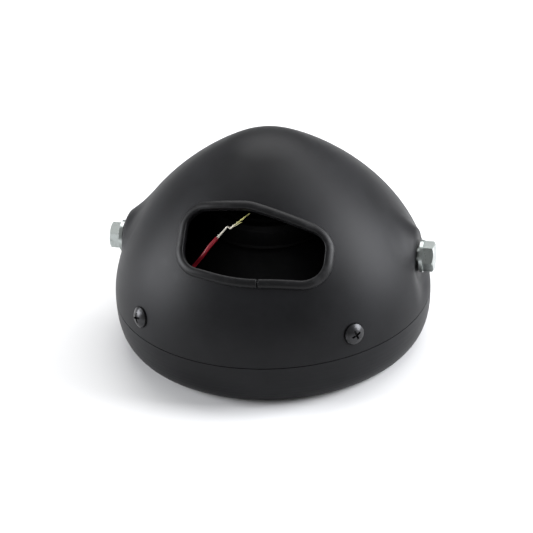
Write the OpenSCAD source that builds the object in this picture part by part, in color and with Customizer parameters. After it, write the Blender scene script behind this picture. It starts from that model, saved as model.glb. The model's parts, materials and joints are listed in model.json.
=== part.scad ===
// Motorcycle headlight: a moulded bullet shell closed by a trim ring that holds the lamp unit.
// The lamp stands on the front edge of its trim ring, lens down, with the wiring opening towards -Y.
// The side bolts lie along X. The bulb, its plug and one red wire are inside the shell.

/* [Shell] */
// Largest outside diameter, at the belt of the lamp
body_d = 158; // [150:1:166]
// Height at which the sides of the dome would meet, were its tip not rounded
cone_h = 109.8; // [106:0.2:116]
// Height of the widest ring above the front edge
belt_z = 21.8; // [20:0.2:24]
// How high the side of the dome stays steep above the belt
dome_side = 56.3; // [52:0.1:58]
// How flat the sides of the dome run in to the middle
cone_run = 7.3; // [6:0.1:10]
// Radius at which the rounded tip of the dome begins
tip_r = 20; // [16:1:26]
// Wall thickness of the moulded shell
shell_wall = 2.6; // [2.2:0.1:3]

/* [Trim ring] */
// How far the front edge of the trim ring stands in from the belt
rim_inset = 9.1; // [8.4:0.1:10]
// Height of the seam between the trim ring and the shell
seam_z = 23.2; // [22.8:0.1:25]
// Visible gap at that seam
seam_gap = 0.4; // [0.3:0.05:0.6]
// Wall thickness of the trim ring
rim_wall = 2.4; // [2:0.1:2.8]
// Thickness of the front lip that the lamp unit bears on
lip_t = 2.4; // [2:0.1:3]
// Width of the flat front edge
lip_flat = 1.4; // [1:0.1:1.8]
// How far the lip reaches in from the front edge
lip_reach = 2.6; // [2.2:0.1:3]
// Height of the collar that centres the ring in the shell
collar_h = 4; // [3:0.5:4.5]
// Wall of that collar
collar_wall = 2; // [1.6:0.1:2.4]
// Clearance between the collar and the inside of the shell
collar_clear = 0.3; // [0.2:0.05:0.5]

/* [Wiring opening] */
// Width of the opening in the shell
opening_w = 69.6; // [64:0.2:72]
// Height of the opening, along the slope of the dome
opening_h = 36; // [32:0.5:38]
// Sideways place of the middle of the opening
opening_x = 3.6; // [0:0.2:6]
// Middle of the opening, up the slope of the dome
opening_v = 15.8; // [14:0.2:18]
// Angle of the opening's own plane from the upright
opening_lean = 45; // [43:1:47]
// Corner radius at the two upper corners
opening_top_r = 9.8; // [8:0.2:11]
// Corner radius at the two lower corners
opening_low_r = 12.2; // [11:0.2:13]
// Radius of the soft crown in the upper edge
opening_crown_r = 21; // [18:0.5:24]
// Radius of the lower edge, which is nearly straight
opening_sole_r = 71; // [65:1:80]
// Width of the rubber lips on both faces of the wall
trim_lip_w = 2.9; // [2.4:0.1:3.2]
// Thickness of those lips
trim_lip_t = 1.6; // [1.2:0.1:2]
// Thickness of the rubber over the cut edge
trim_web = 1.3; // [1:0.1:1.6]
// Gap where the two ends of the rubber strip meet
trim_split = 0.4; // [0.3:0.1:0.8]
// Sideways place of that gap, from the middle of the opening
trim_split_x = 5; // [0:0.5:10]

/* [Side mounts] */
// Height of the side bolts above the front edge
bolt_z = 45.5; // [44:0.5:47]
// How far each flat pad stands in from the belt
pad_inset = 4; // [3:0.1:4.5]
// Radius of the flat part of the pad
pad_flat_r = 9.6; // [9:0.1:11]
// Radius of the soft shoulder round the pad
pad_shoulder = 8.4; // [7:0.2:10]
// Angle of the pad's sloping side from the bolt's axis
pad_slope = 38; // [30:1:42]
// How far the middle of the pad lies below the bolt
pad_drop = 2.5; // [0:0.5:3]
// Thread size of the side bolts
bolt_d = 8; // [8:0.5:9]
// Length of the side bolts under the head
bolt_l = 20; // [18:1:25]
// Hexagon of the side bolt and its nut, across the flats
bolt_af = 13; // [13:0.5:14]
// Height of the side bolt's head
bolt_head_h = 5.3; // [5:0.1:6]
// Turn of the right bolt's head against the left one's
bolt_turn = 30; // [0:5:30]
// Outside diameter of the side washer
washer_d = 16; // [16:0.5:18]
// Thickness of the side washer
washer_t = 1.6; // [1.2:0.1:2]
// Height of the side nut
nut_h = 6.5; // [6:0.1:7]
// Radius of the boss inside the shell that the nut bears on
boss_r = 11; // [10:0.5:12]
// How far that boss stands in from the pad
boss_depth = 7; // [6.5:0.5:8]
// Clearance round a bolt or screw in its hole
hole_clear = 0.4; // [0.3:0.05:0.5]
// Clearance between a thread and its nut
thread_clear = 0.05; // [0.04:0.01:0.1]

/* [Trim ring screws] */
// Angle of each trim ring screw from the opening side
screw_angle = 41.9; // [38:0.1:44]
// Height of the trim ring screws
screw_z = 33.8; // [33:0.1:35]
// Thread size of these screws
screw_d = 5; // [4:0.5:5]
// Length under the head
screw_l = 12; // [11:0.5:14]
// Diameter of the pan head
screw_head_d = 10; // [9:0.2:10.5]
// Height of the pan head
screw_head_h = 3.2; // [2.8:0.1:3.6]
// Span of the cross recess
screw_cross = 4.8; // [4:0.2:5.2]
// Depth of the spot face under the head
spot_depth = 0.6; // [0.4:0.1:0.9]
// Width of the tab on the trim ring
tab_w = 16; // [14:1:18]
// Thickness of the tab at the screw
tab_t = 2.2; // [1.8:0.1:2.6]
// How far the tab reaches past the screw
tab_over = 7; // [6.5:0.5:8]
// Side of the captive nut plate
plate_w = 12; // [11:0.5:13]
// Thickness of the nut plate
plate_t = 1.2; // [1:0.1:1.6]
// Length of the nut's barrel
barrel_h = 3.4; // [3:0.2:4]

/* [Lamp unit] */
// Clearance round the lamp unit in the trim ring
unit_clear = 0.3; // [0.2:0.05:0.6]
// Thickness of the rubber ring under the lens
gasket_t = 1; // [0.8:0.1:1.4]
// Thickness of the lens glass
lens_t = 3.2; // [2.8:0.1:3.6]
// Crown of the lens
lens_crown = 2; // [1:0.1:2.4]
// Thickness of the reflector's flange
flange_t = 2; // [1.6:0.1:2.4]
// Width of that flange
flange_w = 6.5; // [6:0.1:7.5]
// Depth of the bowl, were it closed at the back
bowl_depth = 54.4; // [52:0.2:56]
// Wall of the reflector
reflector_wall = 1.8; // [1.4:0.1:2.2]
// Outside radius of the neck plate at the back
neck_r = 27; // [26:0.5:28]
// Height of the neck plate's skirt
neck_skirt = 6; // [5:0.5:6.5]
// How far the neck plate stands behind the bowl
neck_rise = 9; // [8.6:0.2:10]
// Width of each spring clip that holds the unit
clip_w = 14; // [10:1:16]
// Thickness of the spring steel
clip_t = 0.8; // [0.6:0.1:1]
// Length of the clip's foot on the flange
clip_foot = 3.2; // [2.8:0.1:3.6]

/* [Bulb] */
// Radius of the bulb's flange
bulb_flange_r = 20; // [19:0.5:21]
// Thickness of the flange
bulb_flange_t = 1; // [0.8:0.1:1.2]
// Radius of the bulb's metal sleeve
bulb_sleeve_r = 10.5; // [10:0.5:11]
// Length of that sleeve below the flange
bulb_sleeve_l = 16; // [14:1:17]
// Radius of the glass
bulb_glass_r = 8.2; // [7.8:0.1:8.6]
// Length of the straight glass
bulb_glass_l = 32; // [30:1:34]
// How far the sleeve grips the glass
glass_grip = 6; // [5:0.5:7]
// Radius of the cap behind the flange
bulb_cap_r = 13; // [12:0.5:13]
// Height of that cap
bulb_cap_h = 11; // [10:0.5:12]
// Length of the three blade terminals
blade_l = 8; // [7:0.5:9]
// Width of a blade
blade_w = 7.8; // [6.3:0.1:8]
// Thickness of a blade
blade_t = 0.8; // [0.6:0.1:1]
// How far the blades stand from the middle of the bulb
blade_row = 7; // [6.5:0.1:7.5]
// Wire diameter of the bulb's spring clip
spring_d = 1.5; // [1.2:0.1:1.6]
// Wall of the rubber boot
boot_wall = 2.2; // [1.8:0.1:2.6]
// Width of the plug
plug_w = 26; // [25:1:28]
// Depth of the plug
plug_d = 22; // [21:1:23]
// Height of the plug
plug_h = 17; // [16:0.5:18]
// Diameter of the red wire
wire_d = 1.8; // [1.6:0.1:2]
// Diameter of its bare strands
strand_d = 1; // [0.8:0.1:1.2]

/* [Hidden] */

LEFT = -1;
RIGHT = 1;
$fn = 96;
pad_depth = 16;
dish_h = 6;
dish_run = 1.9;
body_r = body_d / 2;
pad_x = body_r - pad_inset;

// Curves of the outside: the dome from the belt to its tip, and the ring from the edge to the belt
dome_curve = [[body_r, belt_z], [body_r, belt_z + dome_side], [cone_run, cone_h], [0, cone_h]];
rim_r = body_r - rim_inset;
rim_edge_out = 5.5;
rim_edge_up = 2.3;
rim_side = 7.5;
rim_curve = [[rim_r, 0], [rim_r + rim_edge_out, rim_edge_up], [body_r, rim_side], [body_r, belt_z]];
curve_steps = 26;
tip_steps = 5;

function bezier(p, t) = pow(1 - t, 3) * p[0] + 3 * t * pow(1 - t, 2) * p[1]
    + 3 * t * t * (1 - t) * p[2] + pow(t, 3) * p[3];
function heading(p, t) = pow(1 - t, 2) * (p[1] - p[0]) + 2 * t * (1 - t) * (p[2] - p[1])
    + t * t * (p[3] - p[2]);
function outward(p, t) = let (v = heading(p, t)) [v[1], -v[0]] / norm(v);
function beside(p, t, off) = bezier(p, t) + off * outward(p, t);
// Parameter at which a rising curve reaches the height z
function param_at(p, z, lo = 0, hi = 1, n = 30) = let (mid = (lo + hi) / 2)
    n == 0 ? mid
    : bezier(p, mid)[1] < z ? param_at(p, z, mid, hi, n - 1)
    : param_at(p, z, lo, mid, n - 1);
// Parameter at which a curve that closes in reaches the radius r
function param_in(p, r, lo = 0, hi = 1, n = 30) = let (mid = (lo + hi) / 2)
    n == 0 ? mid
    : bezier(p, mid)[0] > r ? param_in(p, r, mid, hi, n - 1)
    : param_in(p, r, lo, mid, n - 1);

// The ball that rounds the tip of the dome
tip_t = param_in(dome_curve, tip_r);
tip_out = outward(dome_curve, tip_t);
ball_r = tip_r / tip_out[0];
ball_z = bezier(dome_curve, tip_t)[1] - ball_r * tip_out[1];
ball_start = atan2(tip_out[1], tip_out[0]);
body_h = ball_z + ball_r;

// Where the seam, the ring's inside and the lamp unit lie
seam_t = param_at(dome_curve, seam_z);
ring_top = seam_z - seam_gap;
return_t = 2;
return_z = ring_top - return_t;
return_r = beside(rim_curve, param_at(rim_curve, return_z), -rim_wall)[0];
collar_r = beside(dome_curve, param_at(dome_curve, seam_z + collar_h), -shell_wall)[0] - collar_clear;
ring_low_t = param_at(rim_curve, lip_t + 1);
unit_r = beside(rim_curve, ring_low_t, -rim_wall)[0] - unit_clear;
bowl_r = unit_r - flange_w;
focal = pow(bowl_r, 2) / (4 * bowl_depth);
gasket_z = lip_t;
lens_z = gasket_z + gasket_t;
flange_z = lens_z + lens_t;
bowl_z = flange_z + flange_t;
bowl_tip = bowl_z + bowl_depth;
neck_z = bowl_tip - pow(neck_r, 2) / (4 * focal) + reflector_wall + neck_rise;
cap_z = neck_z + bulb_cap_h;
plug_z = cap_z;
under_head = pad_x + washer_t;

// Length of the cutters for the holes of bolts and rim screws
drill_l = 30;

// Solid inside an offset of the dome curve, from the seam up, with a straight run of a given depth below
module dome(off, below = 0) {
    side = [for (i = [0:curve_steps]) beside(dome_curve, seam_t + (tip_t - seam_t) * i / curve_steps, off)];
    tip = [for (i = [1:tip_steps]) let (a = ball_start + (90 - ball_start) * i / tip_steps)
        [(ball_r + off) * cos(a), ball_z + (ball_r + off) * sin(a)]];
    rotate_extrude() polygon(concat([[0, seam_z - below], [side[0][0], seam_z - below]],
        below > 0 ? [[side[0][0], seam_z]] : [], [for (i = [1:curve_steps]) side[i]], tip));
}

// Outline round a ring of corner circles [x, y, radius], all grown by off
function edge_angle(a, b) = let (d = [b[0] - a[0], b[1] - a[1]])
    atan2(d[1], d[0]) - acos((a[2] - b[2]) / norm(d));
function turn(a, b) = (b - a) - 360 * floor((b - a) / 360);
function rounded(corners, off, step = 12) = let (n = len(corners)) [
    for (i = [0:n - 1]) let (
        c = corners[i],
        from = edge_angle(corners[(i + n - 1) % n], c),
        sweep = turn(from, edge_angle(c, corners[(i + 1) % n])),
        parts = max(1, ceil(sweep / step)))
        for (k = [0:parts]) let (a = from + sweep * k / parts)
            [c[0], c[1]] + (c[2] + off) * [cos(a), sin(a)]];

half_w = opening_w / 2;
half_h = opening_h / 2;
opening_corners = [
    [half_w - opening_low_r, -3.8, opening_low_r],
    [half_w - opening_top_r, 1.2, opening_top_r],
    [-5.6, half_h - opening_crown_r, opening_crown_r],
    [opening_top_r - half_w, half_h - opening_top_r - 0.5, opening_top_r],
    [opening_low_r - half_w, -2.2, opening_low_r],
    [-0.6, opening_sole_r - half_h, opening_sole_r]];
opening_start = 60;
opening_depth = 60;

// A prism through the wall along the normal of the opening's plane
module opening_prism(off) {
    rotate([90 - opening_lean, 0, 0]) translate([opening_x, opening_v, opening_start])
            linear_extrude(opening_depth) polygon(rounded(opening_corners, off));
}

// Places of the side mounts and the trim ring screws
module at_pad(side, drop = 0) {
    translate([0, 0, bolt_z - drop]) rotate([0, 90 * side, 0]) children();
}

screw_t = param_at(dome_curve, screw_z);
screw_point = bezier(dome_curve, screw_t);
screw_tilt = atan2(outward(dome_curve, screw_t)[1], outward(dome_curve, screw_t)[0]);
// In this place +Z points out of the shell, square to its surface
module at_screw(side) {
    rotate([0, 0, -90 + side * screw_angle]) translate([screw_point[0], 0, screw_point[1]])
        rotate([0, 90 - screw_tilt, 0]) children();
}

// The shell
// Above the bolt the pad stands out of the dome, with a soft shoulder and a sloping side
module pad_boss() {
    foot = pad_shoulder * (1 - sin(pad_slope));
    side_r = pad_flat_r + pad_shoulder * cos(pad_slope);
    rotate_extrude() polygon(concat([[0, pad_x - pad_depth]],
        [[side_r + (pad_depth - foot) * tan(pad_slope), pad_x - pad_depth]],
        [for (i = [0:8]) let (a = pad_slope + (90 - pad_slope) * i / 8)
            [pad_flat_r + pad_shoulder * cos(a), pad_x - pad_shoulder * (1 - sin(a))]],
        [[0, pad_x]]));
}

// Below the bolt the pad runs into the bulge of the dome as a shallow dish
module pad_dish() {
    translate([0, 0, pad_x]) cylinder(r1 = pad_flat_r, r2 = pad_flat_r + dish_run * dish_h, h = dish_h);
}

module shell() {
    color([0.09, 0.09, 0.1]) difference() {
        union() {
            difference() {
                dome(0);
                for (side = [LEFT, RIGHT]) at_pad(side, pad_drop) pad_dish();
            }
            intersection() {
                dome(pad_shoulder);
                for (side = [LEFT, RIGHT]) at_pad(side, pad_drop) pad_boss();
            }
        }
        difference() {
            dome(-shell_wall, 1);
            for (side = [LEFT, RIGHT]) {
                at_pad(side, pad_drop) translate([0, 0, -shell_wall]) pad_dish();
                at_pad(side) translate([0, 0, pad_x - boss_depth]) cylinder(r = boss_r, h = boss_depth);
            }
        }
        for (side = [LEFT, RIGHT]) at_pad(side)
            translate([0, 0, pad_x - boss_depth - drill_l / 3])
                cylinder(d = bolt_d + hole_clear, h = drill_l);
        for (side = [LEFT, RIGHT]) at_screw(side) {
            translate([0, 0, -10]) cylinder(d = screw_d + hole_clear, h = 20);
            translate([0, 0, -spot_depth]) cylinder(d = screw_head_d + 2 * hole_clear, h = 8);
        }
        opening_prism(0);
    }
}

// The trim ring
module bezel_ring() {
    inside_t = param_at(rim_curve, return_z);
    lip_r = rim_r - lip_reach;
    outside = [for (i = [0:curve_steps / 2]) bezier(rim_curve, i / (curve_steps / 2))];
    inside = [for (i = [curve_steps / 2:-1:0])
        beside(rim_curve, ring_low_t + (inside_t - ring_low_t) * i / (curve_steps / 2), -rim_wall)];
    rotate_extrude() polygon(concat(
        [[rim_r - lip_flat, 0]], outside,
        [[body_r, ring_top], [collar_r, ring_top], [collar_r, ring_top + collar_h],
            [collar_r - collar_wall, ring_top + collar_h], [collar_r - collar_wall, return_z],
            [return_r, return_z]],
        inside,
        [[inside[len(inside) - 1][0], lip_t], [lip_r, lip_t], [lip_r, lip_t / 2]]));
}

// Tab that lies on the inside of the shell, with a flat seat for the nut plate
module bezel_tab(side) {
    intersection() {
        dome(-shell_wall);
        at_screw(side) translate([-tab_over, -tab_w / 2, -shell_wall - tab_t])
            cube([tab_over + screw_z - seam_z - 2, tab_w, 3 * tab_t]);
    }
}

module bezel() {
    color([0.08, 0.08, 0.09]) difference() {
        union() {
            bezel_ring();
            for (side = [LEFT, RIGHT]) bezel_tab(side);
        }
        for (side = [LEFT, RIGHT]) at_screw(side)
            translate([0, 0, -drill_l * 2 / 3]) cylinder(d = screw_d + hole_clear, h = drill_l);
    }
}

// Rubber strip over the edge of the opening
module opening_trim() {
    color([0.12, 0.12, 0.13]) difference() {
        intersection() {
            difference() {
                opening_prism(trim_lip_w);
                opening_prism(-trim_web);
            }
            difference() {
                dome(trim_lip_t);
                dome(-shell_wall - trim_lip_t);
            }
        }
        difference() {
            dome(0);
            dome(-shell_wall);
            opening_prism(0);
        }
        translate([opening_x + trim_split_x, -body_r, seam_z])
            cube([trim_split, body_r * 0.8, 0.45 * body_h]);
    }
}

// Side bolts, washers and nuts
function hexagon(across) = [for (i = [0:5]) across / sqrt(3) * [cos(60 * i), sin(60 * i)]];

// Hexagonal block with its corners turned down at one end
module hex_block(across, h) {
    intersection() {
        linear_extrude(h) polygon(hexagon(across));
        rotate_extrude() polygon([[0, 0], [across / sqrt(3), 0], [across / sqrt(3), h - 0.7],
            [across / 2 - 0.1, h], [0, h]]);
    }
}

module side_bolt(side) {
    color([0.72, 0.76, 0.75]) at_pad(side) {
        translate([0, 0, under_head]) rotate([0, 0, side == RIGHT ? bolt_turn : 0])
            hex_block(bolt_af, bolt_head_h);
        translate([0, 0, under_head - bolt_l + 1]) cylinder(d = bolt_d, h = bolt_l - 1);
        translate([0, 0, under_head - bolt_l]) cylinder(d1 = bolt_d - 2, d2 = bolt_d, h = 1);
    }
}

module side_washer(side) {
    color([0.75, 0.77, 0.78]) at_pad(side) translate([0, 0, pad_x]) difference() {
        cylinder(d = washer_d, h = washer_t);
        translate([0, 0, -1]) cylinder(d = bolt_d + hole_clear, h = washer_t + 2);
    }
}

module side_nut(side) {
    color([0.7, 0.72, 0.7]) at_pad(side) translate([0, 0, pad_x - boss_depth]) rotate([180, 0, 0])
        difference() {
            hex_block(bolt_af, nut_h);
            translate([0, 0, -1]) cylinder(d = bolt_d + 2 * thread_clear, h = nut_h + 2);
        }
}

// Trim ring screws and their captive nuts
module rim_screw(side) {
    dish = screw_head_d * 0.75;
    color([0.1, 0.1, 0.1]) at_screw(side) difference() {
        union() {
            intersection() {
                translate([0, 0, -spot_depth]) cylinder(d = screw_head_d, h = screw_head_h);
                translate([0, 0, -spot_depth + screw_head_h - dish]) sphere(r = dish);
            }
            translate([0, 0, -spot_depth - screw_l]) cylinder(d = screw_d, h = screw_l);
        }
        for (turned = [0, 90]) rotate([0, 0, turned + 20])
            translate([-screw_cross / 2, -0.5, screw_head_h - spot_depth - 1.8]) cube([screw_cross, 1, 4]);
    }
}

module rim_nut(side) {
    color([0.6, 0.6, 0.58]) at_screw(side) translate([0, 0, -shell_wall - tab_t]) difference() {
        union() {
            translate([-plate_w / 2, -plate_w / 2, -plate_t]) cube([plate_w, plate_w, plate_t]);
            translate([0, 0, -plate_t - barrel_h]) cylinder(d = screw_d + 3, h = barrel_h);
        }
        translate([0, 0, -plate_t - barrel_h - 1])
            cylinder(d = screw_d + 2 * thread_clear, h = plate_t + barrel_h + 2);
    }
}

// Lamp unit: lens, rubber ring and reflector
function arc_z(r, span, rise) = let (big = (span * span + rise * rise) / (2 * rise))
    sqrt(big * big - r * r) - (big - rise);
lens_steps = 12;
module lens() {
    span = rim_r - lip_reach - 2;
    crowned = [for (i = [0:lens_steps]) let (r = span * i / lens_steps)
        [r, lens_z - arc_z(r, span, lens_crown)]];
    hollow = [for (i = [lens_steps:-1:0]) let (r = (span - lens_t) * i / lens_steps)
        [r, flange_z - arc_z(r, span - lens_t, lens_crown)]];
    color([0.85, 0.9, 0.92, 0.5]) rotate_extrude()
        polygon(concat(crowned, [[unit_r, lens_z], [unit_r, flange_z]], hollow));
}

module lens_gasket() {
    color([0.15, 0.15, 0.15]) translate([0, 0, gasket_z]) difference() {
        cylinder(r = unit_r, h = gasket_t);
        translate([0, 0, -1]) cylinder(r = rim_r - lip_reach + 0.6, h = gasket_t + 2);
    }
}

neck_bore = 17.5;
neck_tube = 2;
function bowl_at(r) = bowl_tip - r * r / (4 * focal);
bowl_steps = 20;
lug_h = 3;
lug_x = bulb_cap_r + spring_d / 2 + 0.4;
lug_y = neck_r - 8;
spring_far = neck_r - 5;
module reflector_body() {
    mirror_side = [for (i = [0:bowl_steps]) let (r = bowl_r + (neck_bore - bowl_r) * i / bowl_steps)
        [r, bowl_at(r)]];
    back_r = bowl_r + 1;
    back_side = [for (i = [0:bowl_steps]) let (r = neck_bore + neck_tube + (back_r - neck_bore - neck_tube)
        * i / bowl_steps) [r, bowl_at(r) + reflector_wall]];
    rotate_extrude() polygon(concat(
        [[unit_r, flange_z], [bowl_r, flange_z]], mirror_side,
        [[neck_bore, neck_z - bulb_flange_t], [bulb_flange_r + 0.2, neck_z - bulb_flange_t],
            [bulb_flange_r + 0.2, neck_z], [neck_r, neck_z], [neck_r, neck_z - neck_skirt],
            [neck_r - 2, neck_z - neck_skirt], [neck_r - 2, neck_z - 3],
            [neck_bore + neck_tube, neck_z - 3]],
        back_side,
        [[back_r + 0.5, bowl_z], [unit_r, bowl_z]]));
}

// Lugs that hold the ends and the crossbar of the bulb's spring
module reflector() {
    color([0.75, 0.77, 0.8]) difference() {
        union() {
            reflector_body();
            for (side = [LEFT, RIGHT]) translate([side * lug_x - 2, -lug_y - 2, neck_z])
                cube([4, 4, lug_h]);
            translate([-3, spring_far + spring_d / 2 + 0.1, neck_z]) cube([6, 2.4, lug_h]);
            translate([-3, spring_far - 0.6, neck_z + spring_d + 0.1]) cube([6, 3, lug_h - spring_d - 0.1]);
        }
        for (side = [LEFT, RIGHT]) translate([side * lug_x, -lug_y + 3, neck_z + spring_d / 2])
            rotate([90, 0, 0]) cylinder(d = spring_d + 0.1, h = 6);
    }
}

// Spring clips between the reflector's flange and the return of the trim ring
module unit_clip(turned) {
    heel_r = unit_r - clip_t;
    toe_r = heel_r - clip_foot;
    tip_out_r = collar_r - collar_wall + clip_t;
    tip_in_r = tip_out_r - 2 * clip_t;
    knee_z = bowl_z + 0.6 * (return_z - bowl_z);
    rotate([0, 0, turned]) translate([0, clip_w / 2, 0]) rotate([90, 0, 0]) color([0.6, 0.62, 0.65])
        linear_extrude(clip_w) polygon([[toe_r, bowl_z], [heel_r, bowl_z], [heel_r + 1, bowl_z + 1],
            [tip_in_r, knee_z], [tip_out_r, return_z - clip_t], [tip_out_r, return_z], [tip_in_r, return_z],
            [tip_in_r - clip_t, knee_z], [heel_r, bowl_z + 1.4], [heel_r - 0.4, bowl_z + clip_t],
            [toe_r, bowl_z + clip_t]]);
}

// The bulb
module blades(grow) {
    for (b = [[0, blade_row - 0.5, 0], [-blade_row, -2, 90], [blade_row, -2, 90]])
        translate([b[0], b[1], cap_z]) rotate([0, 0, b[2]]) translate([-blade_w / 2 - grow, -blade_t / 2 - grow, 0])
            cube([blade_w + 2 * grow, blade_t + 2 * grow, blade_l + grow]);
}

seat_z = neck_z - bulb_flange_t;
sleeve_z = seat_z - bulb_sleeve_l;
glass_top = sleeve_z + glass_grip;
glass_clear = 0.1;
module bulb_base() {
    color([0.72, 0.72, 0.7]) {
        rotate_extrude() polygon([[bulb_glass_r + glass_clear, sleeve_z], [bulb_sleeve_r, sleeve_z],
            [bulb_sleeve_r, seat_z], [bulb_flange_r, seat_z], [bulb_flange_r, neck_z], [bulb_cap_r, neck_z],
            [bulb_cap_r, cap_z - 1], [bulb_cap_r - 1, cap_z], [0, cap_z], [0, glass_top],
            [bulb_glass_r + glass_clear, glass_top]]);
        blades(0);
    }
}

module bulb_glass() {
    color([0.9, 0.92, 0.95, 0.6]) translate([0, 0, glass_top - bulb_glass_l]) {
        cylinder(r = bulb_glass_r, h = bulb_glass_l);
        intersection() {
            sphere(r = bulb_glass_r);
            translate([0, 0, -bulb_glass_r]) cube([3, 3, 2] * bulb_glass_r, center = true);
        }
    }
}

module bulb_spring() {
    z = neck_z + spring_d / 2;
    bend = 3;
    far = spring_far;
    color([0.75, 0.75, 0.75]) translate([0, 0, z]) {
        for (side = [LEFT, RIGHT]) {
            translate([side * lug_x, far - bend, 0]) rotate([90, 0, 0])
                cylinder(d = spring_d, h = far - bend + lug_y + 2.6);
            translate([side * (lug_x - bend), far - bend, 0]) mirror([side == LEFT ? 1 : 0, 0, 0])
                rotate_extrude(angle = 90) translate([bend, 0]) circle(d = spring_d);
        }
        translate([-lug_x + bend, far, 0]) rotate([0, 90, 0])
            cylinder(d = spring_d, h = 2 * (lug_x - bend));
    }
}

module dust_boot() {
    low = neck_z - neck_skirt + 0.5;
    roof = neck_z + lug_h + 0.8;
    top = roof + boot_wall + 4;
    out = neck_r + boot_wall;
    color([0.1, 0.1, 0.1]) rotate_extrude() polygon([[neck_r, low], [out, low], [out + 0.8, low + 1],
        [out, low + 2], [out, roof], [out - 2, roof + boot_wall], [out - 6, roof + boot_wall],
        [out - 7.5, roof + boot_wall + 1], [out - 9, roof + boot_wall],
        [bulb_cap_r + boot_wall, roof + boot_wall], [bulb_cap_r + boot_wall, top],
        [bulb_cap_r, top], [bulb_cap_r, roof], [neck_r, roof]]);
}

// Plug on the bulb's blades
plug_corners = [for (c = [[1, -1], [1, 1], [-1, 1], [-1, -1]])
    [c[0] * (plug_w / 2 - 3), c[1] * (plug_d / 2 - 3), 3]];
module bulb_plug() {
    color([0.13, 0.13, 0.13]) difference() {
        union() {
            translate([0, 0, plug_z]) linear_extrude(plug_h - 3) polygon(rounded(plug_corners, 0, 15));
            translate([0, 0, plug_z + plug_h - 3]) linear_extrude(3) polygon(rounded(plug_corners, -1.5, 15));
            for (i = [-2:2]) translate([i * 4 - 0.6, -plug_d / 2 - 0.8, plug_z + 2]) cube([1.2, 2, plug_h - 6]);
        }
        blades(0.15);
    }
}

// Red wire: out of the plug, down beside the reflector, round below the opening and up to its top edge
wire_route = [
    [13, 0, 86], [16, 0, 86], [19, 0, 86], [26, -3, 84], [33, -8, 78], [39, -13, 70], [45, -18, 60],
    [50, -23, 49], [52, -29, 37], [50, -36, 27], [43, -44, 21], [30, -54, 20], [15, -60, 19.5],
    [0, -62, 19], [-15, -60, 19.5], [-28, -55, 20.5], [-38, -49, 25], [-42, -48, 33], [-42, -53, 42],
    [-37, -56, 50], [-30, -54, 56], [-25, -51, 61], [-21, -50, 66], [-18, -48, 70], [-15, -45, 73]];
strand_route = [[-15, -45, 73], [-12, -43, 76], [-9, -42, 78], [-6, -42, 80], [-3, -41, 82], [0, -39, 84]];

module red_wire() color([0.7, 0.05, 0.07]) swept(smooth_route(wire_route, 3), wire_d);
module red_wire_strands() color([0.8, 0.75, 0.55]) swept(smooth_route(strand_route, 2), strand_d);

// Smooth path through a route, and a round tube along a path
function through(a, b, c, d, t) = 0.5 * (2 * b + (c - a) * t + (2 * a - 5 * b + 4 * c - d) * t * t
    + (3 * b - a - 3 * c + d) * t * t * t);
function smooth_route(p, parts) = let (n = len(p)) concat(
    [for (i = [0:n - 2]) for (k = [0:parts - 1])
        through(p[max(i - 1, 0)], p[i], p[i + 1], p[min(i + 2, n - 1)], k / parts)],
    [p[n - 1]]);
function unit(v) = v / norm(v);
function along(path, i) = unit(path[min(i + 1, len(path) - 1)] - path[max(i - 1, 0)]);
// One side direction per point of the path, each turned as little as it can be
function sides(path, i = 0, last = [0, 0, 1]) = i == len(path) ? []
    : let (a = along(path, i), s = unit(last - (last * a) * a)) concat([s], sides(path, i + 1, s));
tube_sides = 8;
module swept(path, d) {
    side = sides(path);
    n = len(path);
    points = [for (i = [0:n - 1]) let (u = side[i], v = cross(along(path, i), side[i]))
        for (k = [0:tube_sides - 1]) let (a = 360 * k / tube_sides)
            path[i] + d / 2 * (cos(a) * u + sin(a) * v)];
    walls = [for (i = [0:n - 2]) for (k = [0:tube_sides - 1]) let (next = (k + 1) % tube_sides)
        [i * tube_sides + k, (i + 1) * tube_sides + k, (i + 1) * tube_sides + next, i * tube_sides + next]];
    ends = [[for (k = [0:tube_sides - 1]) k],
        [for (k = [tube_sides - 1:-1:0]) (n - 1) * tube_sides + k]];
    polyhedron(points = points, faces = concat(walls, ends), convexity = 6);
}

shell();
bezel();
opening_trim();
side_bolt(LEFT);  // side_bolt_left
side_bolt(RIGHT);  // side_bolt_right
side_washer(LEFT);  // side_washer_left
side_washer(RIGHT);  // side_washer_right
side_nut(LEFT);  // side_nut_left
side_nut(RIGHT);  // side_nut_right
rim_screw(LEFT);  // rim_screw_left
rim_screw(RIGHT);  // rim_screw_right
rim_nut(LEFT);  // rim_nut_left
rim_nut(RIGHT);  // rim_nut_right
lens();
lens_gasket();
reflector();
unit_clip(180);  // unit_clip_left
unit_clip(0);  // unit_clip_right
unit_clip(-90);  // unit_clip_lower
unit_clip(90);  // unit_clip_upper
bulb_base();
bulb_glass();
bulb_spring();
dust_boot();
bulb_plug();
red_wire();
red_wire_strands();
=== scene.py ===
"""Looks of a motorcycle headlight that stands lens down on its trim ring.

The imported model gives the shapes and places. This script adds the camera, the studio, the free
wire, the rubber edge of the wiring opening, the soft skin of the shell and every surface's finish.
Lengths are in millimetres and angles in degrees, unless a line says otherwise.
"""
import json
import logging
import math
from collections.abc import Iterable
from dataclasses import dataclass
from enum import Enum

import bpy
import numpy as np
from mathutils import Matrix


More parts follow.
